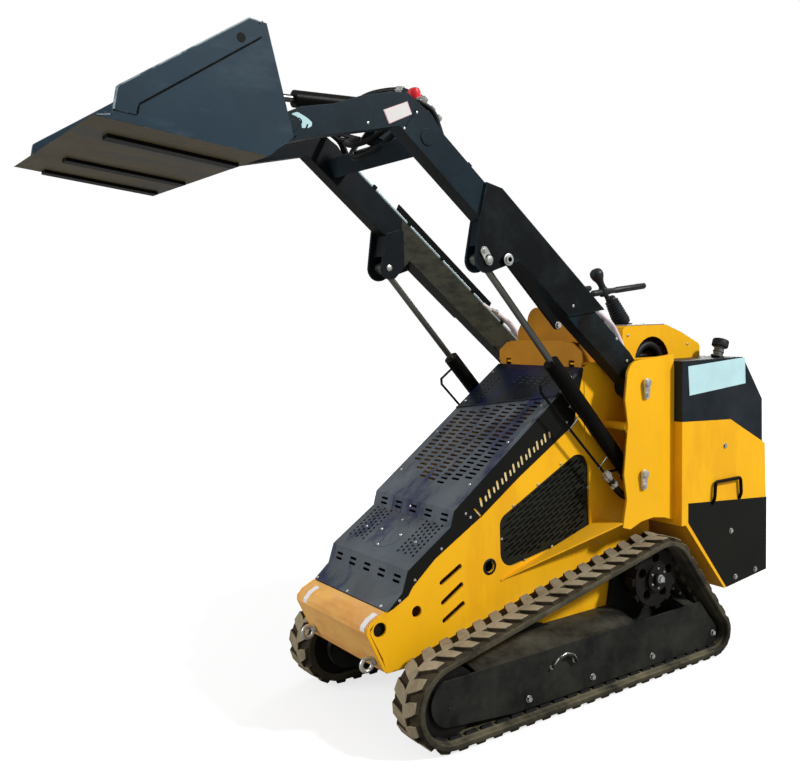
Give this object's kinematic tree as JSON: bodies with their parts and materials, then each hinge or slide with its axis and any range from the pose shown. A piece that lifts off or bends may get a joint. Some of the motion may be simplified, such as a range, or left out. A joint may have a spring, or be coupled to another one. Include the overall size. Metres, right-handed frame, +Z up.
{
  "type": "stand-on tracked mini loader",
  "caption": "Stand-on mini loader on rubber tracks, with a raised lift boom, a curling bucket, a sloping hood and a fold-up operator platform.",
  "frame": {"origin": "on the ground, at the middle of the overall length and width", "axes": "+X forward, +Y to the left, +Z up; the boom and bucket turn up about -Y"},
  "size_m": [2.719, 0.866, 2.152],
  "materials": {
    "yellow_paint": "scuffed",
    "dark_paint": "satin",
    "black_paint": "satin",
    "bare_steel": "worn",
    "track_rubber": "dusty",
    "chrome_rod": "polished",
    "hose_rubber": "satin",
    "black_plastic": "matte",
    "cast_iron": "rough"
  },
  "bodies": {
    "chassis": {"frame": "yellow_paint", "bumper": "yellow_paint", "fenders": "yellow_paint", "tower": "yellow_paint", "tower_front": "yellow_paint", "hood": "dark_paint", "grille_left": "black_paint", "grille_right": "black_paint", "rear_body": "yellow_paint", "tank": "dark_paint", "filler_cap": "black_plastic", "rear_panel_left": "dark_paint", "rear_panel_right": "dark_paint", "handle_left": "black_paint", "handle_right": "black_paint", "console": "yellow_paint", "console_top": "dark_paint", "controls": "black_plastic", "engine": "cast_iron", "tow_eyes": "bare_steel", "track_left": "track_rubber", "track_right": "track_rubber", "track_frame_left": "dark_paint", "track_frame_right": "dark_paint", "sprocket_left": "cast_iron", "sprocket_right": "cast_iron", "rollers_left": "cast_iron", "rollers_right": "cast_iron", "base_pins": "bare_steel"},
    "boom": {"arm_left": "dark_paint", "arm_right": "dark_paint", "cross_tube": "dark_paint", "lock_bar": "black_paint", "hose_guard": "black_paint", "boom_hoses": "hose_rubber", "couplers": "bare_steel"},
    "lift_barrel_left": {"lift_barrel_left": "black_paint"},
    "lift_barrel_right": {"lift_barrel_right": "black_paint"},
    "lift_rod_left": {"lift_rod_left": "chrome_rod"},
    "lift_rod_right": {"lift_rod_right": "chrome_rod"},
    "tilt_barrel": {"tilt_barrel": "black_paint"},
    "tilt_rod": {"tilt_rod": "chrome_rod"},
    "platform": {"platform": "black_paint"},
    "bucket": {"hitch": "dark_paint", "bucket": "dark_paint"}
  },
  "joints": [
    {"name": "boom_lift", "type": "hinge", "parent": "chassis", "child": "boom", "pos_m": [-0.6135, 0, 1.101], "axis": [0, -1, 0], "range_deg": [-66, 4]},
    {"name": "bucket_tilt", "type": "hinge", "parent": "boom", "child": "bucket", "pos_m": [0.7935, 0, 1.915], "axis": [0, -1, 0], "range_deg": [-45, 62]},
    {"name": "platform_fold", "type": "hinge", "parent": "chassis", "child": "platform", "pos_m": [-1.3375, 0, 0.25], "axis": [0, -1, 0], "range_deg": [0, 88]},
    {"name": "lift_barrel_turn_left", "type": "hinge", "parent": "chassis", "child": "lift_barrel_left", "pos_m": [-0.5995, 0.292, 0.761], "axis": [0, -1, 0], "range_deg": [-57.85, 3.98]},
    {"name": "lift_rod_slide_left", "type": "slide", "parent": "lift_barrel_left", "child": "lift_rod_left", "axis": [0.6618, 0, 0.7497], "range_m": [-0.3402, 0.0225]},
    {"name": "lift_barrel_turn_right", "type": "hinge", "parent": "chassis", "child": "lift_barrel_right", "pos_m": [-0.5995, -0.292, 0.761], "axis": [0, -1, 0], "range_deg": [-57.85, 3.98]},
    {"name": "lift_rod_slide_right", "type": "slide", "parent": "lift_barrel_right", "child": "lift_rod_right", "axis": [0.6618, 0, 0.7497], "range_m": [-0.3402, 0.0225]},
    {"name": "tilt_barrel_turn", "type": "hinge", "parent": "boom", "child": "tilt_barrel", "pos_m": [0.2285, 0, 2.08], "axis": [0, -1, 0], "range_deg": [-1.57, 1.28]},
    {"name": "tilt_rod_slide", "type": "slide", "parent": "tilt_barrel", "child": "tilt_rod", "axis": [0.9998, 0, -0.019], "range_m": [-0.1462, 0.1066]}
  ],
  "couplings": [
    {"joint": "lift_barrel_turn_left", "follows": "boom_lift", "ratio": 0.869},
    {"joint": "lift_rod_slide_left", "follows": "boom_lift", "m_per_rad": 0.29364},
    {"joint": "lift_barrel_turn_right", "follows": "boom_lift", "ratio": 0.869},
    {"joint": "lift_rod_slide_right", "follows": "boom_lift", "m_per_rad": 0.29364},
    {"joint": "tilt_barrel_turn", "follows": "bucket_tilt", "ratio": -0.0173},
    {"joint": "tilt_rod_slide", "follows": "bucket_tilt", "m_per_rad": -0.13322}
  ]
}
